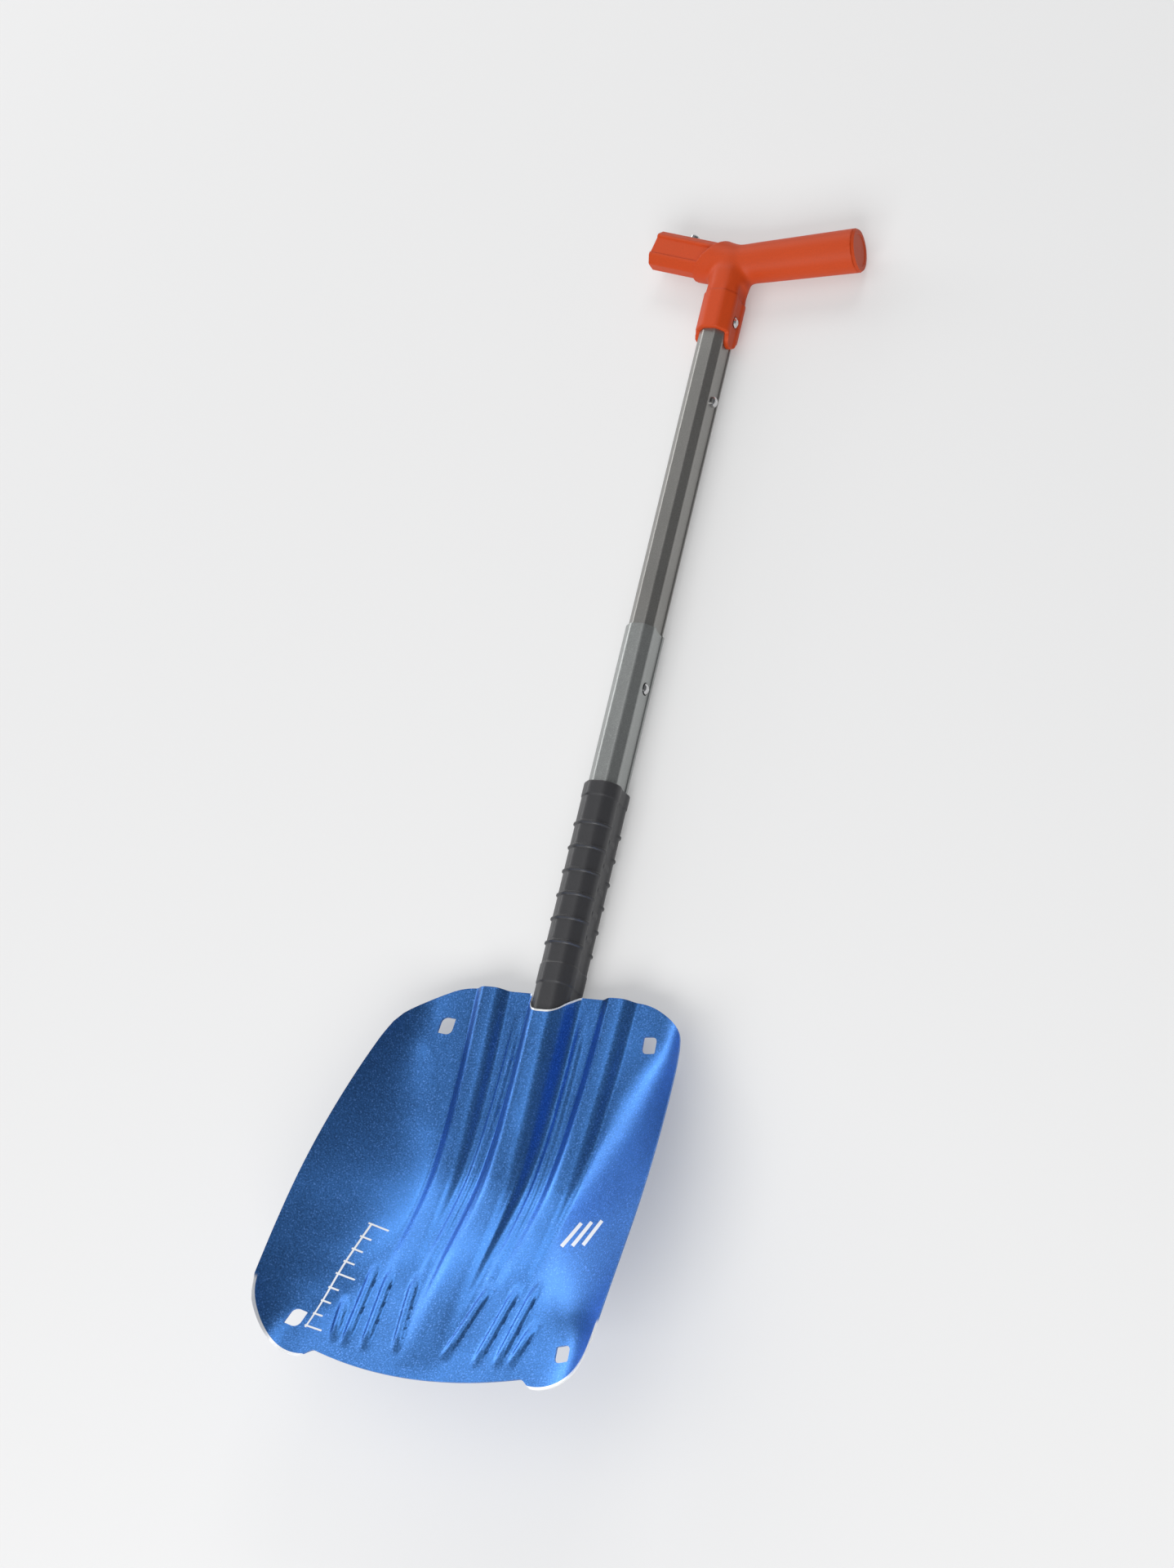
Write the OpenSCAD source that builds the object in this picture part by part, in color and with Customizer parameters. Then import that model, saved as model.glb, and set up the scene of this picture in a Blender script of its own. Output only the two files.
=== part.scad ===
// Avalanche shovel with a pressed alloy blade, a two-piece telescopic shaft and a T handle
// whose short arm is an adapter plug. Millimetres. The shovel lies on its back: the shaft runs
// along Y with the handle at +Y, and the hollow side of the blade faces up, +Z.

/* [Blade] */
// Thickness of the pressed sheet
sheet_t = 2; // [1.5:0.1:2.5]
// Height of the central swage over the socket floor
swage_h = 17.8; // [17:0.1:20]
// Half width of the central swage
swage_w = 19; // [18:0.5:21]
// Height of the two side swages
ridge_h = 6.5; // [3:0.5:8]
// Distance of the side swages from the middle
ridge_x = 46; // [42:1:50]
// Width of the corner holes
corner_hole_w = 10; // [7:0.5:11]
// Length of the corner holes
corner_hole_l = 12; // [8:0.5:13]
// Mesh columns across the blade
blade_cols = 44; // [36:2:52]
// Mesh rows down the blade
blade_rows = 36; // [30:2:40]

/* [Shaft] */
// Width of the lower tube across its side channels
tube_w = 22; // [21.5:0.1:22.5]
// Depth of the lower tube, front to back
tube_d = 30; // [29.5:0.1:30.5]
// Wall of both tubes
tube_wall = 1.1; // [1:0.05:1.2]
// Gap between the two tubes on each side
tube_gap = 0.28; // [0.22:0.01:0.3]
// Travel from extended to retracted
travel = 220; // [200:1:220]
// Top end of the lower tube above the socket mouth
lower_top = 270; // [268:1:270]
// Top end of the grip above the socket mouth
grip_top = 153; // [140:1:160]
// Thickness of the grip wall
grip_t = 2.1; // [1.5:0.1:2.4]
// Number of ribs round the grip
grip_ribs = 6; // [4:1:7]
// Distance from one grip rib to the next
rib_pitch = 17; // [15:0.5:18]

/* [Snap buttons] */
// Radius of a button
button_r = 3.7; // [3.4:0.1:3.8]
// Radius of the lock hole in the lower tube
lock_hole_r = 4.4; // [4.2:0.1:4.6]
// Thickness of the clip's spring strip
clip_t = 0.7; // [0.5:0.1:0.8]

/* [Handle] */
// Height of the arms' axis above the socket mouth
arm_y = 557; // [555:1:558]
// Reach of the long arm from the shaft's axis
arm_reach = 92; // [85:1:95]
// Radius of the long arm beside the neck
arm_r0 = 14; // [13:0.1:14.5]
// Radius of the long arm at its end
arm_r1 = 15.6; // [15:0.1:16]
// Tilt of the long arm
arm_tilt = 7.7; // [6:0.1:9]
// Reach of the adapter arm from the shaft's axis
plug_reach = 61; // [58:1:64]
// Tilt of the adapter arm
plug_tilt = 11.9; // [11:0.1:13]
// Lower rim of the neck above the socket mouth
neck_y = 499; // [498:1:501]

/* [Hidden] */

// The frame: half the length above the middle, and the floor under the shaft's axis
mid_y = 155.9;
floor_z = tube_d / 2 + grip_t + 0.7;

// Tube section: an oblong with cut corners and a channel down each side
half_w = tube_w / 2;
half_d = tube_d / 2;
front_flat = 5;
corner_sum = half_d + front_flat;
channel_depth = 1;
channel_top = 6.2;
inset_step = tube_wall + tube_gap;
diagonal = sqrt(2);

// Places along the shaft, from the socket mouth
lower_end = -72;
upper_end = 201;
upper_top = 538;
lock_y = 228;
retract_y = lock_y + travel;
button_from_end = 22;
hoe_hole_y = lower_top - button_from_end;
rivet_ys = [-36, -60];
rivet_z = -6.6;
neck_rivet_y = 511;
rivet_seat_x = 11.2;
tab_y = 491;
neck_inset = -1.5;
plug_wall = 3;
plug_inner = half_d - inset_step - plug_wall;
inner_wall_x = half_w - channel_depth - inset_step - tube_wall;

// Blade design curves: [distance from the mouth toward the tip, value]
floor_curve = [[-20, 1.8], [0, 1.8], [45, 2.2], [75, 4.2], [100, 7], [130, 14], [160, 26.5],
    [190, 41], [220, 54], [250, 66], [280, 78]];
edge_curve = [[0, 8], [20, 16.7], [44, 27.2], [92, 45.1], [140, 61], [188, 75], [236, 87], [280, 97]];
half_curve = [[0, 95], [20, 100.5], [44, 106.6], [92, 113.8], [140, 118], [188, 119.2], [290, 119.2]];
power_curve = [[0, 5], [22, 4.5], [50, 2.6], [90, 1.6], [145, 1.15], [185, 1.45], [215, 2.3],
    [245, 5.2], [280, 5.2]];
swage_curve = [[-20, 1], [40, 0.97], [70, 0.88], [100, 0.73], [130, 0.53], [160, 0.37], [190, 0.26],
    [220, 0.17], [250, 0.07], [268, 0], [290, 0]];
ridge_curve = [[-20, 1], [60, 1], [100, 0.92], [130, 0.7], [160, 0.46], [190, 0.23], [215, 0], [290, 0]];
pan_foot = 50;
top_edge = 5.3;
top_round = 34;
top_round_from = 0.6;
lip_dip = 16;
tip_d = 273;
tip_hollow = 10;
notch_from = 0.6;
notch_to = 0.69;
notch_d = 268.7;
tip_round = 46;

function clamp01(t) = min(1, max(0, t));
function smooth01(t) = let(c = clamp01(t)) c * c * (3 - 2 * c);
function hump(r) = (1 + cos(180 * pow(min(1, abs(r)), 1.75))) / 2;

// Smooth curve through a list of points
function span_of(p, x, k = 0) = k < len(p) - 2 && x > p[k + 1][0] ? span_of(p, x, k + 1) : k;
function slope_at(p, k) =
    let(a = max(0, k - 1), b = min(len(p) - 1, k + 1)) (p[b][1] - p[a][1]) / (p[b][0] - p[a][0]);
function curve(p, x) =
    let(k = span_of(p, x), h = p[k + 1][0] - p[k][0], t = clamp01((x - p[k][0]) / h),
        m0 = slope_at(p, k) * h, m1 = slope_at(p, k + 1) * h)
    (2 * t ^ 3 - 3 * t ^ 2 + 1) * p[k][1] + (t ^ 3 - 2 * t ^ 2 + t) * m0
        + (3 * t ^ 2 - 2 * t ^ 3) * p[k + 1][1] + (t ^ 3 - t ^ 2) * m1;

// Height of the blade's front face over the shaft's axis, d mm toward the tip from the mouth
function pan(a, d) =
    let(c = curve(floor_curve, d), w = curve(half_curve, d), q = max(0, a - pan_foot) / (w - pan_foot))
    c + (curve(edge_curve, max(0, d)) - c) * pow(q, curve(power_curve, max(0, d)));
function ridge_at(d) = ridge_x - 0.035 * max(0, d);
function blade_z(x, d) =
    let(a = abs(x))
    pan(a, d) + swage_h * curve(swage_curve, d) * hump(a / swage_w)
        + ridge_h * curve(ridge_curve, d) * hump((a - ridge_at(d)) / 13);

// Edges of the blade, as distance from the mouth, for s from -1 to 1 across it
function arc_drop(t) = 1 - sqrt(1 - clamp01(t) ^ 2);
function top_d(s, x) =
    top_round * arc_drop((abs(s) - top_round_from) / (1 - top_round_from))
        - top_edge + lip_dip * hump(x / swage_w);
function tip_edge_d(s) =
    let(a = abs(s))
    a < notch_from ? tip_d - tip_hollow * (a / notch_from) ^ 2
    : a < notch_to ? tip_d - tip_hollow
        + (notch_d - tip_d + tip_hollow) * smooth01((a - notch_from) / (notch_to - notch_from))
    : notch_d - tip_round * arc_drop((a - notch_to) / (1 - notch_to));

function blade_point(i, j, drop) =
    let(s = 2 * i / blade_cols - 1, t = j / blade_rows,
        d0 = top_d(s, s * 96), d = d0 + (tip_edge_d(s) - d0) * t, x = s * curve(half_curve, d))
    [x, -d, blade_z(x, d) - drop];

module place() {
    translate([0, -mid_y, floor_z])
        children();
}

// Solid between a grid of points and the same grid one sheet thickness lower
module blade_sheet() {
    cols = blade_cols;
    rows = blade_rows;
    n = (cols + 1) * (rows + 1);
    front = [for (j = [0:rows]) for (i = [0:cols]) blade_point(i, j, 0)];
    back = [for (j = [0:rows]) for (i = [0:cols]) blade_point(i, j, sheet_t)];
    quads = [for (j = [0:rows - 1]) for (i = [0:cols - 1]) j * (cols + 1) + i];
    front_faces = [for (a = quads) for (f = [[a, a + 1, a + cols + 2], [a, a + cols + 2, a + cols + 1]]) f];
    back_faces = [for (f = front_faces) [f[2] + n, f[1] + n, f[0] + n]];
    rim = concat(
        [for (i = [0:cols - 1]) i],
        [for (j = [0:rows - 1]) j * (cols + 1) + cols],
        [for (i = [cols:-1:1]) rows * (cols + 1) + i],
        [for (j = [rows:-1:1]) j * (cols + 1)]
    );
    rim_faces = [for (k = [0:len(rim) - 1])
        let(a = rim[k], b = rim[(k + 1) % len(rim)])
        for (f = [[b, a, a + n], [b, a + n, b + n]]) f];
    polyhedron(concat(front, back), concat(front_faces, back_faces, rim_faces), convexity = 8);
}

// Leaf-shaped hole: two opposite corners are round and two are nearly sharp
module leaf(w, l) {
    r = 0.42 * w;
    x = w / 2;
    y = l / 2;
    arc = [for (a = [0:15:90]) [x - r + r * cos(a), y - r + r * sin(a)]];
    polygon(concat(arc, [[-x, y]], [for (p = arc) -p], [[x, -y]]));
}

module corner_hole(x, d, lean) {
    for (side = [-1, 1])
        translate([side * x, -d, -10])
            rotate([0, 0, side * lean])
                mirror([side < 0 ? 1 : 0, 0, 0])
                    linear_extrude(120)
                        leaf(corner_hole_w, corner_hole_l);
}

module blade() {
    color("royalblue")
        place()
            difference() {
                blade_sheet();
                corner_hole(73.5, 22.5, 4);
                corner_hole(93, 243, 12);
            }
}

// One quarter of the tube section, set in by e on every face
function quarter(e) =
    let(k = (diagonal - 1) * e, z = half_d - e, x = half_w - e)
    [[front_flat - k, z], [x, corner_sum - diagonal * e - x], [x, channel_top + k],
     [x - channel_depth, channel_top - channel_depth + k]];

// Corner b of the path a, b, c, rounded to radius r with n steps
function rounded(a, b, c, r, n = 5) =
    let(u = (a - b) / norm(a - b), v = (c - b) / norm(c - b), half = acos(u * v) / 2,
        m = (u + v) / norm(u + v), o = b + m * r / sin(half), p = b + u * r / tan(half) - o,
        turn = (180 - 2 * half) * sign(cross(b - a, c - b)))
    [for (i = [0:n]) let(g = turn * i / n) o + [p[0] * cos(g) - p[1] * sin(g), p[0] * sin(g) + p[1] * cos(g)]];

function section(e) =
    let(q = quarter(e), start = [0, q[0][1]], end = [q[3][0], 0],
        one = concat(rounded(start, q[0], q[1], max(0.6, 4 - e)), rounded(q[0], q[1], q[2], max(0.4, 3.5 - e)),
            rounded(q[1], q[2], q[3], 0.6, 2), rounded(q[2], q[3], end, 0.6, 2)),
        back = [for (i = [len(one) - 1:-1:0]) one[i]])
    concat(one, [for (p = back) [p[0], -p[1]]], [for (p = one) [-p[0], -p[1]]],
        [for (p = back) [-p[0], p[1]]]);

// Bar of the tube section from y0 to y1
module bar(e, y0, y1) {
    translate([0, y1, 0])
        rotate([90, 0, 0])
            linear_extrude(y1 - y0)
                polygon(section(e));
}

// Round bar across the shaft, from x0 to x1
module crossbar(r, x0, x1, y, z = 0) {
    translate([x0, y, z])
        rotate([0, 90, 0])
            cylinder(h = x1 - x0, r = r, $fn = 48);
}

module socket_back() {
    flange_top = -0.35;
    color("silver")
        place()
            difference() {
                union() {
                    intersection() {
                        bar(-2.7, -70, -2);
                        translate([-20, -80, -30])
                            cube([40, 80, 30 + flange_top]);
                    }
                    translate([-31, -62, flange_top - 2])
                        cube([62, 52, 2]);
                }
                bar(-0.3, -90, 10);
                for (y = rivet_ys)
                    crossbar(2.4, -20, 20, y, rivet_z);
            }
}

module socket_welds() {
    color("gainsboro")
        place()
            for (side = [-1, 1])
                translate([side * 31.95, -58, -1.2])
                    rotate([-90, 0, 0])
                        cylinder(h = 44, r = 0.9, $fn = 24);
}

module socket_cross_rivets() {
    color("lightgray")
        place()
            for (y = rivet_ys, side = [-1, 1]) {
                crossbar(2.35, side < 0 ? -14.4 : 7.4, side < 0 ? -7.4 : 14.4, y, rivet_z);
                crossbar(4, side < 0 ? -15 : 13.72, side < 0 ? -13.72 : 15, y, rivet_z);
            }
}

module lower_shaft() {
    color("darkgray")
        place()
            difference() {
                bar(0, lower_end, lower_top);
                bar(tube_wall, lower_end - 1, lower_top + 1);
                crossbar(lock_hole_r, 5, 15, lock_y);
                translate([0, hoe_hole_y, -20])
                    cylinder(h = 10, r = lock_hole_r, $fn = 48);
                for (y = rivet_ys)
                    crossbar(2.4, -20, 20, y, rivet_z);
            }
}

module lower_shaft_plug() {
    color("dimgray")
        place() {
            bar(tube_wall + 0.05, lower_end - 0.05, lower_end + 6);
            bar(0.3, lower_end - 2, lower_end - 0.05);
        }
}

// Sleeve with raised collars at both ends and ribs round its front and back
module shaft_grip() {
    color("dimgray")
        place()
            difference() {
                union() {
                    bar(-grip_t, -1, grip_top);
                    bar(-grip_t - 0.5, grip_top - 10, grip_top);
                    bar(-grip_t - 0.5, 10, 23);
                    for (k = [0:grip_ribs - 1])
                        bar(-grip_t - 0.7, 38 + k * rib_pitch - 0.8, 38 + k * rib_pitch + 0.8);
                }
                bar(-0.02, -10, grip_top + 10);
            }
}

module upper_shaft() {
    color("dimgray")
        place()
            difference() {
                bar(inset_step, upper_end, upper_top);
                bar(inset_step + tube_wall, upper_end - 1, upper_top + 1);
                for (y = [lock_y, retract_y])
                    crossbar(button_r + 0.05, 5, 15, y);
                crossbar(2.05, -15, 15, neck_rivet_y);
            }
}

module upper_shaft_guide() {
    inner = inset_step + tube_wall + 0.05;
    color("black")
        place()
            difference() {
                union() {
                    bar(inset_step, upper_end - 3, upper_end - 0.05);
                    bar(inner, upper_end - 0.05, upper_end + 10);
                }
                translate([0, upper_end - 4, 0])
                    rotate([-90, 0, 0])
                        cylinder(h = 20, r = 4.5, $fn = 48);
            }
}

module upper_shaft_plug() {
    inner = inset_step + tube_wall + 0.05;
    color("black")
        place()
            bar(inner, upper_top - 12, upper_top - 0.5);
}

// Children laid along an arm: +Z of the child runs out along the arm
module along_arm(side, tilt) {
    translate([0, arm_y, 0])
        rotate([0, 0, side * tilt])
            rotate([0, side * 90, 0])
                children();
}

// Section of the adapter arm, with its long side toward +Y, set in by e
module plug_section(e, z0, z1) {
    translate([0, 0, z0])
        linear_extrude(z1 - z0)
            polygon([for (p = section(e)) [p[0], p[1]]]);
}

module neck_solid() {
    bar(neck_inset, neck_y, 545);
    intersection() {
        bar(neck_inset, tab_y, neck_y + 1);
        for (side = [-1, 1])
            translate([side * 14, neck_y, 0])
                rotate([0, 90, 0])
                    cylinder(h = 12, r = 8, center = true, $fn = 48);
    }
}

module handle_body() {
    color("orangered")
        place()
            difference() {
                union() {
                    neck_solid();
                    translate([0, 538, 0])
                        rotate([-90, 0, 0])
                            cylinder(h = 18, r1 = 15, r2 = 15.2, $fn = 64);
                    translate([0, arm_y, 0])
                        rotate([0, 90, 0])
                            sphere(r = 15.9, $fn = 64);
                    along_arm(1, arm_tilt)
                        cylinder(h = arm_reach, r1 = arm_r0, r2 = arm_r1, $fn = 64);
                    along_arm(-1, plug_tilt)
                        cylinder(h = 15, r = 15.5, $fn = 64);
                }
                bar(inset_step - 0.1, tab_y - 5, upper_top + 0.2);
                along_arm(1, arm_tilt)
                    translate([0, 0, 26])
                        cylinder(h = arm_reach, r = 12, $fn = 64);
                along_arm(-1, plug_tilt)
                    plug_section(inset_step + 0.05, 5, 40);
                crossbar(2.05, -25, 25, neck_rivet_y);
                for (side = [-1, 1])
                    crossbar(4.6, side < 0 ? -30 : rivet_seat_x, side < 0 ? -rivet_seat_x : 30, neck_rivet_y);
            }
}

module handle_end_cap() {
    color("orangered")
        place()
            along_arm(1, arm_tilt) {
                translate([0, 0, arm_reach - 6])
                    cylinder(h = 6.1, r = 11.9, $fn = 64);
                translate([0, 0, arm_reach + 0.1])
                    cylinder(h = 1.8, r1 = arm_r1, r2 = arm_r1 - 1.2, $fn = 64);
            }
}

// Rivet from each side of the neck into the shaft, with a domed head
module neck_rivets() {
    color("silver")
        place()
            for (side = [-1, 1])
                mirror([side < 0 ? 1 : 0, 0, 0]) {
                    crossbar(2, 6.4, rivet_seat_x + 0.1, neck_rivet_y);
                    crossbar(3.7, rivet_seat_x + 0.05, rivet_seat_x + 1, neck_rivet_y);
                    translate([rivet_seat_x + 1, neck_rivet_y, 0])
                        rotate([0, 90, 0])
                            cylinder(h = 1, r1 = 3.7, r2 = 2.2, $fn = 48);
                }
}

// Room inside the adapter arm for its clip
module plug_cavity(z0, z1, gap = 0) {
    w = half_w - inset_step - plug_wall - gap;
    d = half_d - inset_step - plug_wall - gap;
    cut = 1.5;
    translate([0, 0, z0])
        linear_extrude(z1 - z0)
            polygon([
                [w, d - cut], [w - cut, d], [cut - w, d], [-w, d - cut],
                [-w, cut - d], [cut - w, -d], [w - cut, -d], [w, cut - d]
            ]);
}

// Hollow plug with the section of the upper shaft, with a button hole on top
module adapter_arm() {
    color("orangered")
        place()
            along_arm(-1, plug_tilt)
                difference() {
                    union() {
                        plug_section(inset_step, 15.2, plug_reach);
                        plug_section(inset_step + 0.15, 5.2, 15.2);
                    }
                    plug_cavity(18, plug_reach + 1);
                    translate([0, 5, plug_reach - button_from_end])
                        rotate([-90, 0, 0])
                            cylinder(h = 20, r = button_r + 0.05, $fn = 48);
                }
}

module adapter_end_cap() {
    color("orangered")
        place()
            along_arm(-1, plug_tilt) {
                plug_cavity(plug_reach - 5, plug_reach + 0.05, 0.05);
                plug_section(inset_step, plug_reach + 0.05, plug_reach + 1.6);
            }
}

// Snap button along +Z: a flange under the wall, a round stem and a domed head
module button(stem, dome) {
    ball_r = (button_r * button_r + dome * dome) / (2 * dome);
    cylinder(h = 0.8, r = button_r + 0.9, $fn = 48);
    cylinder(h = stem, r = button_r, $fn = 48);
    translate([0, 0, stem])
        intersection() {
            cylinder(h = dome, r = button_r, $fn = 48);
            translate([0, 0, dome - ball_r])
                sphere(r = ball_r, $fn = 64);
        }
}

// V-shaped clip of spring strip between a button at +X and the far wall at -X
module clip(reach, far, y0, length, width) {
    bend = y0 - length;
    points = [
        [reach, y0 + 5], [reach, y0 - 6], [reach - 2.5, bend + 3], [0, bend],
        [far + 2.5, bend + 3], [far, y0 - 6], [far, y0 + 5],
        [far + clip_t, y0 + 5], [far + clip_t, y0 - 6], [far + 2.5 + clip_t, bend + 3 + clip_t],
        [0, bend + clip_t * 1.4], [reach - 2.5 - clip_t, bend + 3 + clip_t], [reach - clip_t, y0 - 6],
        [reach - clip_t, y0 + 5]
    ];
    translate([0, 0, -width / 2])
        linear_extrude(width)
            polygon(points);
}

module shaft_button(y) {
    color("silver")
        place()
            translate([inner_wall_x - 0.9, y, 0])
                rotate([0, 90, 0])
                    button(4, 1.9);
}

module shaft_clip(y) {
    color("lightgray")
        place()
            clip(inner_wall_x - 0.95, -inner_wall_x + 0.1, y, 26, 8);
}

module extend_button() {
    shaft_button(lock_y);
}

module extend_clip() {
    shaft_clip_up(lock_y);
}

module retract_button() {
    shaft_button(retract_y);
}

module retract_clip() {
    shaft_clip(retract_y);
}

// The lower clip's bend points up the shaft, away from the guide
module shaft_clip_up(y) {
    color("lightgray")
        place()
            translate([0, 2 * y, 0])
                mirror([0, 1, 0])
                    clip(inner_wall_x - 0.95, -inner_wall_x + 0.1, y, 26, 8);
}

module adapter_frame() {
    place()
        along_arm(-1, plug_tilt)
            translate([0, 0, plug_reach - button_from_end])
                rotate([-90, 0, 0])
                    children();
}

module adapter_button() {
    color("silver")
        adapter_frame()
            translate([0, 0, plug_inner - 0.9])
                button(6, 1.9);
}

module adapter_clip() {
    top = plug_inner - 0.95;
    color("lightgray")
        adapter_frame()
            rotate([0, -90, 0])
                clip(top, -plug_inner + 0.1, 0, 10, 6);
}

blade();
socket_back();
socket_welds();
socket_cross_rivets();
lower_shaft();
lower_shaft_plug();
shaft_grip();
upper_shaft();
upper_shaft_guide();
upper_shaft_plug();
handle_body();
handle_end_cap();
neck_rivets();
adapter_arm();
adapter_end_cap();
extend_button();
extend_clip();
retract_button();
retract_clip();
adapter_button();
adapter_clip();
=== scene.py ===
import math

import bpy
from mathutils import Matrix, Vector


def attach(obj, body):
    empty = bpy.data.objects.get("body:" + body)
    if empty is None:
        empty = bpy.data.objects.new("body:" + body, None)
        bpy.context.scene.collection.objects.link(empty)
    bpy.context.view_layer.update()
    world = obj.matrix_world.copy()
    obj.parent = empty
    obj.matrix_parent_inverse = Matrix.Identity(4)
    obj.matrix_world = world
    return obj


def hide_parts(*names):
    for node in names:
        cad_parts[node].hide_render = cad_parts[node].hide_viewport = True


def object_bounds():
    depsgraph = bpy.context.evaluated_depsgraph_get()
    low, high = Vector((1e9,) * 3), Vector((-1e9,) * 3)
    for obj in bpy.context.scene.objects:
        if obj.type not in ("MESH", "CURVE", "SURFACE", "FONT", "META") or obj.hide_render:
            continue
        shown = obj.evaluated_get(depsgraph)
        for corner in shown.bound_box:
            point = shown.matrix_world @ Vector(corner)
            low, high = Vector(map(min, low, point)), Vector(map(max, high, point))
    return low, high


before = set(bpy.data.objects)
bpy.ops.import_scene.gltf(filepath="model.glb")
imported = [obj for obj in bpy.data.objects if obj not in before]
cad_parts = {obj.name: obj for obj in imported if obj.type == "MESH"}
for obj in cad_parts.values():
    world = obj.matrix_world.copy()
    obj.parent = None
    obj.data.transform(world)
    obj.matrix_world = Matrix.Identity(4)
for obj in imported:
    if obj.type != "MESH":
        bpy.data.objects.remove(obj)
cad_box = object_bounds()


# Blade. One sheet of 2 mm aluminium pressed into a scoop, with a central swage that takes the
# shaft, two side swages and short stiffening ribs near the tip. It is anodised blue; the edge at
# the two tip corners and at the swage's mouth is bare metal, painted near-white as a highlight.

class Tap:
    """A value inside a material. Sums on it add Math nodes."""

    def __init__(self, tree, socket):
        self.tree = tree
        self.socket = socket

    def node(self, kind, settings=None, out=0, **values):
        made = self.tree.nodes.new(kind)
        for key, value in (settings or {}).items():
            if key == "stops":
                for index, (place, tone) in enumerate(value):
                    stops = made.color_ramp.elements
                    stop = stops[index] if index < len(stops) else stops.new(place)
                    stop.position = place
                    stop.color = (*tone, 1) if isinstance(tone, tuple) else (tone, tone, tone, 1)
            else:
                setattr(made, key, value)
        for key, value in values.items():
            socket = made.inputs[int(key[1:])] if key[0] == "i" and key[1:].isdigit() else made.inputs[key]
            if isinstance(value, Tap):
                self.tree.links.new(value.socket, socket)
            else:
                socket.default_value = value
        return Tap(self.tree, made.outputs[out])

    def sum(self, operation, first, second=0.0, clamp=False):
        return self.node("ShaderNodeMath", {"operation": operation, "use_clamp": clamp}, i0=first, i1=second)

    def __add__(self, other): return self.sum("ADD", self, other)
    def __radd__(self, other): return self.sum("ADD", other, self)
    def __sub__(self, other): return self.sum("SUBTRACT", self, other)
    def __rsub__(self, other): return self.sum("SUBTRACT", other, self)
    def __mul__(self, other): return self.sum("MULTIPLY", self, other)
    def __rmul__(self, other): return self.sum("MULTIPLY", other, self)
    def __abs__(self): return self.sum("ABSOLUTE", self)

    def under(self, limit, soft=0.00012):
        """1 where this value is below the limit, with a soft step"""
        return self.node("ShaderNodeMapRange", {"interpolation_type": "SMOOTHSTEP"}, i0=self,
                         i1=limit - soft, i2=limit + soft, i3=1.0, i4=0.0)

    def mix(self, first, second):
        """Colour between first and second by this value"""
        return self.node("ShaderNodeMix", {"data_type": "RGBA"}, out=2, i0=self, i6=first, i7=second)


def finish(name, colour, metallic, roughness, grain_size, grain, sparkle=0.0, bump=0.0, tone=0.12):
    """A finish with fine grain: returns the material, its shader node, place and base colour"""
    material = bpy.data.materials.new(name)
    material.use_nodes = True
    tree = material.node_tree
    shader = next(n for n in tree.nodes if n.type == "BSDF_PRINCIPLED")
    shader.inputs["Metallic"].default_value = metallic
    place = Tap(tree, tree.nodes.new("ShaderNodeTexCoord").outputs["Object"])
    speck = place.node("ShaderNodeTexNoise", {}, out=0, Vector=place, Scale=1 / grain_size, Detail=2.0)
    broad = place.node("ShaderNodeTexNoise", {}, out=0, Vector=place, Scale=14.0, Detail=3.0)
    dark = tuple(c * (1 - tone) for c in colour)
    light = tuple(min(1, c * (1 + tone)) for c in colour)
    base = place.node("ShaderNodeValToRGB", {"stops": [(0.36, dark), (0.64, light)]},
                      Fac=broad * 0.35 + speck * 0.65)
    if sparkle:
        flake = speck.node("ShaderNodeValToRGB", {"stops": [(0.60, 0.0), (0.70, 1.0)]}, Fac=speck)
        bright = tuple(min(1, c * 1.5 + 0.12) for c in colour)
        base = (flake * sparkle).mix(base, (*bright, 1))
    tree.links.new(base.socket, shader.inputs["Base Color"])
    rough = speck * grain + (roughness - grain / 2)
    tree.links.new(rough.socket, shader.inputs["Roughness"])
    if bump:
        raised = place.node("ShaderNodeBump", {}, Strength=bump, Distance=0.0002, Height=speck)
        tree.links.new(raised.socket, shader.inputs["Normal"])
    return material, shader, place, base


def clear():
    if bpy.context.object and bpy.context.object.mode != "OBJECT":
        bpy.ops.object.mode_set(mode="OBJECT")
    bpy.ops.object.select_all(action="DESELECT")


def take(piece):
    clear()
    piece.select_set(True)
    bpy.context.view_layer.objects.active = piece


def settle(piece, name, smooth=35):
    """Put the piece's place in its mesh and turn its faces out"""
    take(piece)
    piece.name = name
    bpy.ops.object.transform_apply(location=True, rotation=True, scale=True)
    bpy.ops.object.mode_set(mode="EDIT")
    bpy.ops.mesh.select_all(action="SELECT")
    bpy.ops.mesh.remove_doubles(threshold=0.000002)
    bpy.ops.mesh.normals_make_consistent(inside=False)
    bpy.ops.object.mode_set(mode="OBJECT")
    bpy.ops.object.shade_smooth_by_angle(angle=math.radians(smooth))
    return piece


def cut(piece, tool, operation="DIFFERENCE"):
    """Cut the tool out of the piece, or join it on"""
    take(piece)
    step = piece.modifiers.new("cut", "BOOLEAN")
    step.object = tool
    step.operation = operation
    step.solver = "EXACT"
    bpy.ops.object.modifier_apply(modifier=step.name)
    bpy.data.objects.remove(tool)


def wear(piece, material, node, body):
    """Give the piece its finish, and set it in the frame in place of its plain node"""
    piece.data.materials.clear()
    piece.data.materials.append(material)
    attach(piece, body)
    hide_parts(node)


# The frame's origin lies MIDDLE up the shaft from the blade's mouth, and AXIS below its axis.
# Blade sizes are in mm: x from the centre line, d from the mouth towards the tip.
MIDDLE = 0.1559
AXIS = 0.0178
sheet_thickness = 0.002
swage_half_width = 19
lip_drop, lip_rise = 5.3, 16
corner_x, corner_d = 82.2, 222.7
corner_half_x, corner_half_d = 37.0, 46
lash_holes = ((73.5, 22.5, 4), (93, 243, 12))

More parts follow.
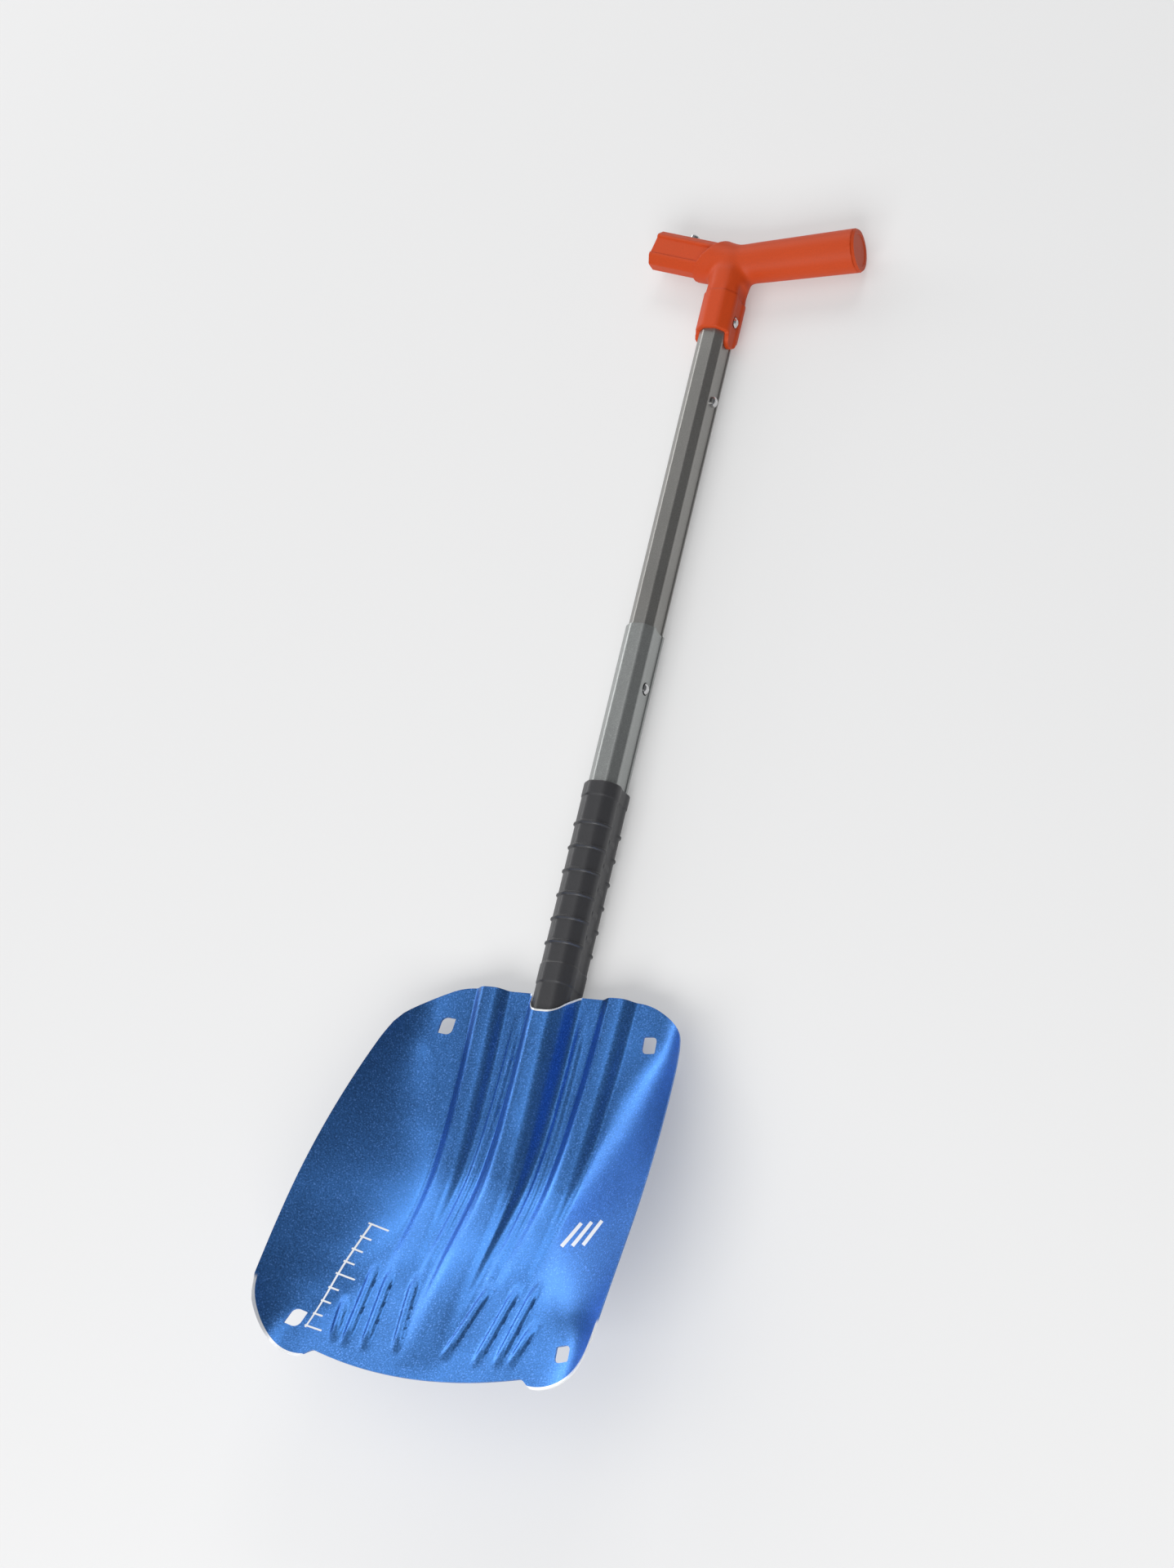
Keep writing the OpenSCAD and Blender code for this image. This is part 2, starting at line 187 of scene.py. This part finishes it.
floor_line = [(-20, 1.8), (0, 1.8), (45, 2.2), (75, 4.2), (100, 7), (130, 14), (160, 26.5),
              (190, 41), (220, 54), (250, 66), (280, 78)]
side_edge = [(0, 8), (20, 16.7), (44, 27.2), (92, 45.1), (140, 61), (188, 75), (236, 87), (280, 97)]
half_width = [(0, 95), (20, 100.5), (44, 106.6), (92, 113.8), (140, 118), (188, 119.2), (290, 119.2)]
wall_power = [(0, 5), (22, 4.5), (50, 2.6), (90, 1.6), (145, 1.15), (185, 1.45), (215, 2.3),
              (245, 5.2), (280, 5.2)]
swage_line = [(-20, 1), (40, 0.97), (70, 0.88), (100, 0.73), (130, 0.53), (160, 0.37), (190, 0.26),
              (220, 0.17), (250, 0.07), (268, 0), (290, 0)]
ridge_line = [(-20, 1), (60, 1), (100, 0.92), (130, 0.7), (160, 0.46), (190, 0.23), (215, 0), (290, 0)]
# Short ribs: from (x, d) near the tip to (x, d) at the round upper end
tip_ribs = [((62, 254), (67, 222)), ((53, 256), (57, 195)), ((39, 257), (45, 198)), ((17, 256), (27, 200))]


def curve(line, x):
    k = 0
    while k < len(line) - 2 and x > line[k + 1][0]:
        k += 1

    def slope(n):
        a, b = max(0, n - 1), min(len(line) - 1, n + 1)
        return (line[b][1] - line[a][1]) / (line[b][0] - line[a][0])

    step = line[k + 1][0] - line[k][0]
    t = min(1, max(0, (x - line[k][0]) / step))
    return ((2 * t ** 3 - 3 * t ** 2 + 1) * line[k][1] + (t ** 3 - 2 * t ** 2 + t) * slope(k) * step
            + (3 * t ** 2 - 2 * t ** 3) * line[k + 1][1] + (t ** 3 - t ** 2) * slope(k + 1) * step)


def hump(r):
    return (1 + math.cos(math.pi * min(1, abs(r)) ** 1.75)) / 2


def smooth01(t):
    t = min(1, max(0, t))
    return t * t * (3 - 2 * t)


def rib_height(a, d):
    """Height of the short ribs at half-breadth a and distance d"""
    height = 0
    for (x0, d0), (x1, d1) in tip_ribs:
        run = math.hypot(x1 - x0, d1 - d0)
        ux, ud = (x1 - x0) / run, (d1 - d0) / run
        along = (a - x0) * ux + (d - d0) * ud
        across = abs((a - x0) * ud - (d - d0) * ux)
        ends = smooth01((along + 4) / 16) * smooth01((run - along) / 16 + 0.1)
        height = max(height, 2.1 * ends * hump(across / 3.9))
    return height


def front_height(x, d):
    a = abs(x)
    low = curve(floor_line, d)
    wide = curve(half_width, d)
    q = max(0, a - 50) / (wide - 50)
    pan = low + (curve(side_edge, max(0, d)) - low) * q ** curve(wall_power, max(0, d))
    swage = 17.8 * curve(swage_line, d) * hump(a / swage_half_width)
    side = 6.5 * curve(ridge_line, d) * hump((a - (46 - 0.035 * max(0, d))) / 13)
    fade = 1 - smooth01((d - 150) / 80)
    lip = 1.5 * fade * smooth01((d - 6) / 30) * hump((a - 23.3) / 3.6)
    ledge = 0.7 * fade * hump((a - 12.8) / 2.2)
    return pan + swage + side + lip + ledge + rib_height(a, d)


def arc_drop(t):
    return 1 - math.sqrt(1 - min(1, max(0, t)) ** 2)


def top_line(s, x):
    return 34 * arc_drop((abs(s) - 0.6) / 0.4) - lip_drop + lip_rise * hump(x / swage_half_width)


def tip_line(s):
    a = abs(s)
    if a < 0.6:
        return 273 - 10 * (a / 0.6) ** 2
    if a < 0.69:
        return 263 + 5.7 * smooth01((a - 0.6) / 0.09)
    return corner_d + corner_half_d - corner_half_d * arc_drop((a - 0.69) / 0.31)


def lay_sheet(piece, cols, rows):
    """Press the flat sheet: every point goes to its place on the blade's front"""
    for v in piece.data.vertices:
        s = min(1, max(-1, 2 * round((v.co.x + 0.5) * cols) / cols - 1))
        t = round((0.5 - v.co.y) * rows) / rows
        start = top_line(s, s * 96)
        d = start + (tip_line(s) - start) * t
        x = s * curve(half_width, d)
        high = min(front_height(x, d) / 1000 + AXIS, cad_box[1][2] - 0.00002)
        v.co = (x / 1000, -d / 1000 - MIDDLE, high)


clear()
blade_cols, blade_rows = 192, 156
bpy.ops.mesh.primitive_grid_add(x_subdivisions=blade_cols, y_subdivisions=blade_rows, size=1)
blade = bpy.context.object
lay_sheet(blade, blade_cols, blade_rows)
bpy.ops.object.mode_set(mode="EDIT")
bpy.ops.mesh.select_all(action="SELECT")
bpy.ops.mesh.extrude_region_move(TRANSFORM_OT_translate={"value": (0, 0, -sheet_thickness)})
bpy.ops.object.mode_set(mode="OBJECT")
settle(blade, "pressed_blade")
for side in (-1, 1):
    for x, d, lean in lash_holes:
        clear()
        bpy.ops.mesh.primitive_circle_add(vertices=32, radius=1, fill_type="NGON")
        leaf = bpy.context.object
        outline = []
        # a leaf, 10 by 12 mm, with two round and two tight corners
        for k in range(32):
            quarter, turn = divmod(k, 8)
            sx, sy = ((1, 1), (-1, 1), (-1, -1), (1, -1))[quarter]
            blunt = 4.2 if sx * sy > 0 else 0.8
            bend = math.radians(90 * quarter + 90 * turn / 7)
            outline.append((side * (sx * (5 - blunt) + blunt * math.cos(bend)),
                            sy * (6 - blunt) + blunt * math.sin(bend)))
        # mirrored, the outline runs backwards, and the cutter would be inside out
        for v, (px, py) in zip(leaf.data.vertices, outline[::side]):
            v.co = (px / 1000, py / 1000, -0.01)
        bpy.ops.object.mode_set(mode="EDIT")
        bpy.ops.mesh.select_all(action="SELECT")
        bpy.ops.mesh.extrude_region_move(TRANSFORM_OT_translate={"value": (0, 0, 0.13)})
        bpy.ops.mesh.normals_make_consistent(inside=False)
        bpy.ops.object.mode_set(mode="OBJECT")
        leaf.rotation_euler.z = side * math.radians(lean)
        leaf.location = (side * x / 1000, -d / 1000 - MIDDLE, 0)
        take(leaf)
        bpy.ops.object.transform_apply(location=True, rotation=True, scale=True)
        cut(blade, leaf)

blue, blue_shader, blue_place, blue_base = finish(
    "blue_anodised_alloy", (0.060, 0.205, 0.56), 0.90, 0.36, 0.00105, 0.22,
    sparkle=0.55, bump=0.30, tone=0.30)
at_x = blue_place.node("ShaderNodeSeparateXYZ", {}, Vector=blue_place)
at_y = Tap(at_x.tree, at_x.socket.node.outputs[1])


def printed_bar(x, y, lean, half_long, half_wide):
    """Mask of one printed bar, leaning from the crosswise direction"""
    c, s = math.cos(math.radians(lean)), math.sin(math.radians(lean))
    u = (at_x - x) * c + (at_y - y) * s
    v = (at_y - y) * c - (at_x - x) * s
    return abs(u).under(half_long) * abs(v).under(half_wide)


# Plain printed marks: a row of depth ticks up the left, and three slanted bars on the right
line_half = 0.0006
ticks_y, tick_gap = -0.366, 0.0095
marks = printed_bar(-0.0775, ticks_y, 80, 0.039, line_half)
for step in range(-4, 5):
    tick_half = 0.0065 if step % 4 == 0 else 0.0036
    marks = marks + printed_bar(-0.0785 + 0.0016 * step + tick_half * 0.92, ticks_y + tick_gap * step,
                                -10, tick_half, line_half)
for step in range(3):
    marks = marks + printed_bar(0.0655 + 0.0095 * step, -0.3165, 62, 0.0095, 0.0020)
marks = marks.sum("MINIMUM", marks, 1.0)
facing = blue_place.node("ShaderNodeNewGeometry", {}, out=1)
up = blue_place.node("ShaderNodeSeparateXYZ", {}, out=2, Vector=facing)
front_only = up.node("ShaderNodeMapRange", {}, i0=up, i1=0.05, i2=0.15, i3=0.0, i4=1.0)
marks = marks * front_only
printed = marks.mix(blue_base, (0.86, 0.87, 0.88, 1))

# Bare metal with a painted highlight: a near-white band round each tip corner, which is a quarter ellipse,
# and along the swage's mouth
corner_u = (abs(at_x) - corner_x / 1000) * (1000 / corner_half_x)
corner_v = (-corner_d / 1000 - MIDDLE - at_y) * (1000 / corner_half_d)
outside = 1 - (corner_u * corner_u + corner_v * corner_v).under(0.925, 0.006)
bare_edge_highlight = outside * (-1 * corner_v).under(-0.03, 0.05) * (-1 * corner_u).under(0.35, 0.02)
across = abs(at_x) * (1000 / swage_half_width)
across = across.sum("MINIMUM", across, 1.0)
wave = across.sum("COSINE", across.sum("POWER", across, 1.75) * math.pi)
past_lip = -1 * at_y - (MIDDLE - lip_drop / 1000) - (wave + 1) * (lip_rise / 2000)
bare_edge_highlight = bare_edge_highlight + past_lip.under(0.0013) * abs(at_x).under(0.0185, 0.0006)
bare_edge_highlight = bare_edge_highlight.sum("MINIMUM", bare_edge_highlight, 1.0)
# Painted highlight: the bare bands get a near-white colour and lose 0.40 of their metallic, so they read
# brighter than bare metal would
finished = bare_edge_highlight.mix(printed, (0.88, 0.89, 0.90, 1))
at_x.tree.links.new(finished.socket, blue_shader.inputs["Base Color"])
at_x.tree.links.new((0.88 - marks * 0.88 - bare_edge_highlight * 0.40).socket, blue_shader.inputs["Metallic"])
wear(blade, blue, "blade", "lower_half")


# Socket fittings behind the blade: a bent alloy bracket welded along both flanges, and cross
# rivets through the lower shaft. Plain mill finish, never seen from the front.
mill, _, _, _ = finish("mill_alloy", (0.60, 0.61, 0.62), 1.0, 0.38, 0.0012, 0.18, bump=0.06)
weld, _, _, _ = finish("weld_bead", (0.56, 0.56, 0.57), 1.0, 0.46, 0.0010, 0.25, bump=0.35, tone=0.2)
bright_rivet, _, _, _ = finish("rivet_alloy", (0.70, 0.70, 0.71), 1.0, 0.30, 0.0008, 0.12)


def coat(material, *nodes):
    for name in nodes:
        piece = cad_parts[name]
        piece.data.materials.clear()
        piece.data.materials.append(material)


coat(mill, "socket_back")
coat(weld, "socket_welds")
coat(bright_rivet, "socket_cross_rivets")


# Lower shaft: drawn tube with a channel down each side, light grey sparkle anodising, plugged
# with moulded black plastic at its lower end.
light_grey, _, _, _ = finish("light_grey_anodised", (0.345, 0.358, 0.352), 0.9, 0.38, 0.00050, 0.16,
                             sparkle=0.45, bump=0.08)
black_plastic, _, _, _ = finish("black_moulding", (0.028, 0.028, 0.029), 0.0, 0.48, 0.0007, 0.14, bump=0.2)
coat(light_grey, "lower_shaft")
coat(black_plastic, "lower_shaft_plug", "upper_shaft_guide", "upper_shaft_plug")


# Grip: a black rubber sleeve pulled over the lower shaft. Raised collars at both ends, and six
# fine ribs that run over the front and back and die out before the side panels, which carry
# plain raised bars.
def corner(a, b, c, r, n=7):
    """Corner b of the path a, b, c, rounded to radius r with n steps"""
    u = ((a[0] - b[0]), (a[1] - b[1]))
    v = ((c[0] - b[0]), (c[1] - b[1]))
    lu, lv = math.hypot(*u), math.hypot(*v)
    u, v = (u[0] / lu, u[1] / lu), (v[0] / lv, v[1] / lv)
    half = math.acos(max(-1, min(1, u[0] * v[0] + u[1] * v[1]))) / 2
    m = (u[0] + v[0], u[1] + v[1])
    lm = math.hypot(*m)
    o = (b[0] + m[0] / lm * r / math.sin(half), b[1] + m[1] / lm * r / math.sin(half))
    p = (b[0] + u[0] * r / math.tan(half) - o[0], b[1] + u[1] * r / math.tan(half) - o[1])
    way = 1 if (b[0] - a[0]) * (c[1] - b[1]) - (b[1] - a[1]) * (c[0] - b[0]) > 0 else -1
    turn = (math.pi - 2 * half) * way
    return [(o[0] + p[0] * math.cos(turn * i / n) - p[1] * math.sin(turn * i / n),
             o[1] + p[0] * math.sin(turn * i / n) + p[1] * math.cos(turn * i / n)) for i in range(n + 1)]


def tube_outline(e):
    """Outline of the shaft's section in mm, set in by e: x across, z front to back"""
    k = (math.sqrt(2) - 1) * e
    q = [(5 - k, 15 - e), (11 - e, 20 - math.sqrt(2) * e - 11 + e), (11 - e, 6.2 + k), (10 - e, 5.2 + k)]
    one = (corner((0, q[0][1]), q[0], q[1], max(0.6, 4 - e))
           + corner(q[0], q[1], q[2], max(0.4, 3.5 - e))
           + corner(q[1], q[2], q[3], 0.6, 3)
           + corner(q[2], q[3], (q[3][0], 0), 0.6, 3))
    back = one[::-1]
    return (one + [(x, -z) for x, z in back] + [(-x, -z) for x, z in one] + [(-x, z) for x, z in back])


def skin(name, rings):
    """A tube built ring by ring: each ring is (y in mm from the mouth, outline). The last ring
    is joined to the first, so a list that goes up outside and down inside closes a sleeve."""
    count = len(rings[0][1])
    clear()
    bpy.ops.mesh.primitive_grid_add(x_subdivisions=count, y_subdivisions=len(rings), size=1)
    piece = bpy.context.object
    for v in piece.data.vertices:
        i = round((v.co.x + 0.5) * count) % count
        j = round((v.co.y + 0.5) * len(rings)) % len(rings)
        y, outline = rings[j]
        v.co = (outline[i][0] / 1000, y / 1000 - MIDDLE, outline[i][1] / 1000 + AXIS)
    return settle(piece, name, 40)


def even(outline, count=120, soften=0):
    """The outline again with evenly spaced points, its corners softened"""
    loop = outline + outline[:1]
    lengths = [math.dist(a, b) for a, b in zip(loop, loop[1:])]
    total, made, k, passed = sum(lengths), [], 0, 0
    for n in range(count):
        want = total * n / count
        while passed + lengths[k] < want:
            passed += lengths[k]
            k += 1
        t = (want - passed) / lengths[k] if lengths[k] else 0
        made.append((loop[k][0] + (loop[k + 1][0] - loop[k][0]) * t,
                     loop[k][1] + (loop[k + 1][1] - loop[k][1]) * t))
    for _ in range(soften):
        made = [((made[i - 1][0] + 2 * made[i][0] + made[(i + 1) % count][0]) / 4,
                 (made[i - 1][1] + 2 * made[i][1] + made[(i + 1) % count][1]) / 4) for i in range(count)]
    return made


grip_base = even(tube_outline(-2.1), soften=5)
grip_thin = even(tube_outline(-0.12))
grip_inside = even(tube_outline(-0.05))
grip_low, grip_top = -15, 153
rib_first, rib_gap, rib_height_mm = 38, 17, 1.15
bar_height, collar_height = 0.6, 0.5
ground_z = 0.02 - AXIS * 1000


def grip_outline(y):
    """Outline of the sleeve at y mm up from the blade's mouth"""
    outline = []
    collar = collar_height * max(smooth01((y - 142.2) / 1.2) * smooth01((grip_top + 0.4 - y) / 1.0),
                                 smooth01((y - 9.2) / 1.2) * smooth01((24 - y) / 1.2))
    for (x, z), (tx, tz) in zip(grip_base, grip_thin):
        if y < -1:
            # under the swage the sleeve is squeezed flat to the shaft, and ends above the bracket
            roof = front_height(x, -y) - 2.35
            outline.append((x, min(z, roof)) if z > 0.3 and roof > tz else (tx, tz))
            continue
        length = math.hypot(x, z)
        over = smooth01((abs(z) - 4.2) / 3.0)
        rib = sum(hump((y - rib_first - rib_gap * k) / 1.25) for k in range(6)) * rib_height_mm * over
        side = smooth01((4.4 - abs(z)) / 1.0)
        bars = sum(hump((y - rib_first - rib_gap * (k + 0.5)) / 3.0) for k in range(5)) * bar_height * side
        step = max(collar, rib, bars if abs(x) > 9 else 0)
        # the ribs are worn flat where the sleeve rests on the ground
        outline.append((x + x / length * step, max(z + z / length * step * 0.99, ground_z)))
    return outline


grip_ys = [grip_low + 1.4 * k for k in range(10)] + [-1.05, -1] + [-0.5 + 0.5 * k for k in range(308)]
grip = skin("rubber_grip", [(y, grip_outline(y)) for y in grip_ys if y <= grip_top]
            + [(grip_top, grip_inside), (grip_low, grip_inside)])
rubber, _, _, _ = finish("black_rubber", (0.034, 0.034, 0.037), 0.0, 0.40, 0.0006, 0.16, bump=0.25)
wear(grip, rubber, "shaft_grip", "lower_half")


# Upper shaft: the same section a size smaller, dark grey anodised. It slides in the lower shaft
# on a black guide and is held by sprung steel buttons.
dark_grey, _, _, _ = finish("dark_grey_anodised", (0.29, 0.285, 0.272), 0.9, 0.38, 0.0005, 0.14,
                            sparkle=0.20, bump=0.06)
coat(dark_grey, "upper_shaft")


# Handle: one glass-filled plastic moulding, neck, ball and long arm flowing into each other,
# with a pressed-in end cap. Two domed steel rivets fix the neck to the upper shaft.
orange, orange_shader, _, _ = finish("orange_moulding", (0.55, 0.058, 0.007), 0.0, 0.52, 0.0007, 0.12,
                                     bump=0.22, tone=0.06)
orange_shader.inputs["Specular IOR Level"].default_value = 0.28
# Places along the shaft are in mm from the blade's mouth, as section_bar takes them
ARM_Y = 0.557 - MIDDLE
long_tilt, adapter_tilt = 7.7, 11.9
neck_low, neck_step, neck_high = 499, 529, 548
neck_outset, neck_top_outset, bore_inset = -1.7, -0.9, 1.28
arm_end_radius = 0.0155
skirt_slant = 0.55


def arm_piece(side, tilt, start, length, r0, r1, slant=0, sides=96):
    """Round bar along one arm of the handle, in metres from the ball's middle, its end slanted"""
    clear()
    bpy.ops.mesh.primitive_cone_add(vertices=sides, radius1=r0, radius2=r1, depth=length,
                                    location=(0, 0, start + length / 2))
    piece = bpy.context.object
    take(piece)
    bpy.ops.object.transform_apply(location=True, rotation=True, scale=True)
    lean = math.radians(tilt)
    for v in piece.data.vertices:
        out, across, deep = v.co.z, v.co.y, -side * v.co.x
        out -= slant * across * (out > start + length / 2)
        v.co = (side * (out * math.cos(lean)) - side * across * math.sin(lean),
                ARM_Y + out * math.sin(lean) + across * math.cos(lean), AXIS + deep)
    return settle(piece, "arm_bar")


def section_bar(name, e, y0, y1):
    """Straight bar with the shaft's section set in by e mm, from y0 to y1"""
    outline = tube_outline(e)
    count = len(outline)
    clear()
    bpy.ops.mesh.primitive_circle_add(vertices=count, radius=1, fill_type="NGON")
    piece = bpy.context.object
    for v, (x, z) in zip(piece.data.vertices, outline):
        v.co = (x / 1000, y0 / 1000 - MIDDLE, z / 1000 + AXIS)
    bpy.ops.object.mode_set(mode="EDIT")
    bpy.ops.mesh.select_all(action="SELECT")
    bpy.ops.mesh.extrude_region_move(TRANSFORM_OT_translate={"value": (0, (y1 - y0) / 1000, 0)})
    bpy.ops.object.mode_set(mode="OBJECT")
    return settle(piece, name)


handle = section_bar("handle_moulding", neck_outset, neck_low, neck_step)
cut(handle, section_bar("neck_top", neck_top_outset, neck_step - 1, neck_high), "UNION")
for side in (-1, 1):
    tab = section_bar("tab", neck_outset, neck_low - 8.1, neck_low + 2)
    clear()
    bpy.ops.mesh.primitive_cylinder_add(vertices=64, radius=0.008, depth=0.012,
                                        location=(side * 0.014, neck_low / 1000 - MIDDLE, AXIS),
                                        rotation=(0, math.pi / 2, 0))
    round_end = settle(bpy.context.object, "round_end")
    cut(tab, round_end, "INTERSECT")
    cut(handle, tab, "UNION")
clear()
bpy.ops.mesh.primitive_cone_add(vertices=96, radius1=0.015, radius2=0.0152, depth=0.018,
                                location=(0, 0.547 - MIDDLE, AXIS), rotation=(-math.pi / 2, 0, 0))
cut(handle, settle(bpy.context.object, "throat"), "UNION")
clear()
bpy.ops.mesh.primitive_uv_sphere_add(segments=72, ring_count=36, radius=0.0157,
                                     location=(0, ARM_Y, AXIS), rotation=(0, math.pi / 2, 0))
cut(handle, settle(bpy.context.object, "ball"), "UNION")
cut(handle, arm_piece(1, long_tilt, 0, 0.0919, 0.014, arm_end_radius), "UNION")
cut(handle, arm_piece(-1, adapter_tilt, 0, 0.0165, 0.0156, 0.0164, slant=skirt_slant), "UNION")
take(handle)
melt = handle.modifiers.new("melt", "REMESH")
melt.mode = "VOXEL"
melt.voxel_size = 0.0007
bpy.ops.object.modifier_apply(modifier=melt.name)
# The joins are filleted; the collar, the skirt and the rims of neck and arms keep their edges
fillet = handle.vertex_groups.new(name="joins")
for v in handle.data.vertices:
    near = 1 - smooth01((math.dist(v.co, (0, ARM_Y - 0.006, AXIS)) - 0.021) / 0.009)
    near *= smooth01((v.co.y - (neck_step + 2) / 1000 + MIDDLE) / 0.004)
    near *= 1 - smooth01((-v.co.x - 0.0100 + skirt_slant * (v.co.y - ARM_Y)) / 0.004)
    fillet.add([v.index], max(near, 0.02), "REPLACE")
soften = handle.modifiers.new("soften", "SMOOTH")
soften.factor = 0.5
soften.iterations = 110
soften.vertex_group = "joins"
bpy.ops.object.modifier_apply(modifier=soften.name)
cut(handle, section_bar("shaft_bore", bore_inset, 485, 538.2))
cut(handle, arm_piece(1, long_tilt, 0.026, 0.08, 0.012, 0.012))
for side in (-1, 1):
    clear()
    bpy.ops.mesh.primitive_cylinder_add(vertices=48, radius=0.0046, depth=0.02,
                                        location=(side * 0.0212, 0.511 - MIDDLE, AXIS),
                                        rotation=(0, math.pi / 2, 0))
    cut(handle, settle(bpy.context.object, "rivet_seat"))
settle(handle, "handle_moulding", 50)
wear(handle, orange, "handle_body", "upper_half")

end_cap = arm_piece(1, long_tilt, 0.0921, 0.0018, arm_end_radius, 0.0145)
settle(end_cap, "arm_end_cap")
take(end_cap)
bpy.ops.object.mode_set(mode="EDIT")
bpy.ops.mesh.select_all(action="DESELECT")
bpy.ops.object.mode_set(mode="OBJECT")
outward = (math.cos(math.radians(long_tilt)), math.sin(math.radians(long_tilt)))
for face in end_cap.data.polygons:
    face.select = face.normal.x * outward[0] + face.normal.y * outward[1] > 0.98
bpy.ops.object.mode_set(mode="EDIT")
bpy.ops.mesh.inset(thickness=0.0028)
bpy.ops.mesh.inset(thickness=0.0004)
bpy.ops.transform.translate(value=(-0.0005 * outward[0], -0.0005 * outward[1], 0))
bpy.ops.object.mode_set(mode="OBJECT")
settle(end_cap, "arm_end_cap", 30)
wear(end_cap, orange, "handle_end_cap", "upper_half")

polished, _, _, _ = finish("polished_steel", (0.58, 0.58, 0.585), 1.0, 0.20, 0.0012, 0.08, bump=0.03)
coat(polished, "neck_rivets")


# Adapter arm: a hollow orange plug with the upper shaft's section and moulded grooves along it,
# so that the lower shaft can be pushed on. Its end is closed by a cap.
coat(orange, "adapter_arm", "adapter_end_cap")


# Snap buttons and their clips: turned steel heads on bent strips of spring steel.
strip, _, _, _ = finish("spring_strip", (0.44, 0.44, 0.45), 1.0, 0.32, 0.0009, 0.14)
coat(polished, "extend_button", "retract_button", "adapter_button")
coat(strip, "extend_clip", "retract_clip", "adapter_clip")


# Studio: a plain pale floor, a key and a back lamp low behind the tool, one low on the left,
# a frontal fill and a weak overhead. The floor glows a little, as a lit table does.
clear()
bpy.ops.mesh.primitive_plane_add(size=12, location=(0, 0, -0.0002))
ground = bpy.context.object
ground.name = "floor"
pale = bpy.data.materials.new("pale_floor")
pale.use_nodes = True
pale_shader = next(n for n in pale.node_tree.nodes if n.type == "BSDF_PRINCIPLED")
pale_shader.inputs["Base Color"].default_value = (0.52, 0.52, 0.52, 1)
pale_shader.inputs["Roughness"].default_value = 0.9
pale_shader.inputs["Specular IOR Level"].default_value = 0.1
pale_shader.inputs["Emission Color"].default_value = (1, 1, 1, 1)
pale_shader.inputs["Emission Strength"].default_value = 0.29
ground.data.materials.append(pale)


def lamp(name, place, aim, size, power):
    light = bpy.data.lights.new(name, "AREA")
    light.shape = "RECTANGLE"
    light.size, light.size_y = size
    light.energy = power
    holder = bpy.data.objects.new(name, light)
    bpy.context.scene.collection.objects.link(holder)
    holder.location = place
    holder.rotation_euler = (Vector(aim) - Vector(place)).to_track_quat("-Z", "Y").to_euler()


lamp("key", (-1.45, 1.95, 1.10), (0, -0.15, 0), (2.2, 1.2), 19)
lamp("back", (0.25, 2.2, 1.80), (0, -0.2, 0), (1.2, 0.8), 13)
lamp("left", (-2.3, 1.0, 0.55), (0, -0.2, 0), (1.2, 0.6), 11)
lamp("fill", (0.3, -2.3, 1.9), (0, 0, 0), (2.4, 1.4), 72)
lamp("overhead", (-0.6, -0.6, 3.9), (0, -0.1, 0), (4.0, 4.0), 50)

world = bpy.data.worlds.new("studio_air")
bpy.context.scene.world = world
world.use_nodes = True
air = next(n for n in world.node_tree.nodes if n.type == "BACKGROUND")
air.inputs[0].default_value = (0.95, 0.97, 1.0, 1)
air.inputs[1].default_value = 0.15
bpy.context.scene.view_settings.view_transform = "Standard"

eye = bpy.data.cameras.new("camera")
eye.lens = 84.6
eye.sensor_fit = "VERTICAL"
eye.sensor_height = 36
eye.sensor_width = 36
eye.clip_start = 0.05
eye_holder = bpy.data.objects.new("camera", eye)
bpy.context.scene.collection.objects.link(eye_holder)
eye_holder.matrix_world = Matrix((
    (0.9010, -0.0582, 0.4299, 1.0443),
    (0.2220, 0.9133, -0.3415, -0.8416),
    (-0.3727, 0.4031, 0.8358, 2.0791),
    (0, 0, 0, 1)))
bpy.context.scene.camera = eye_holder

clear()
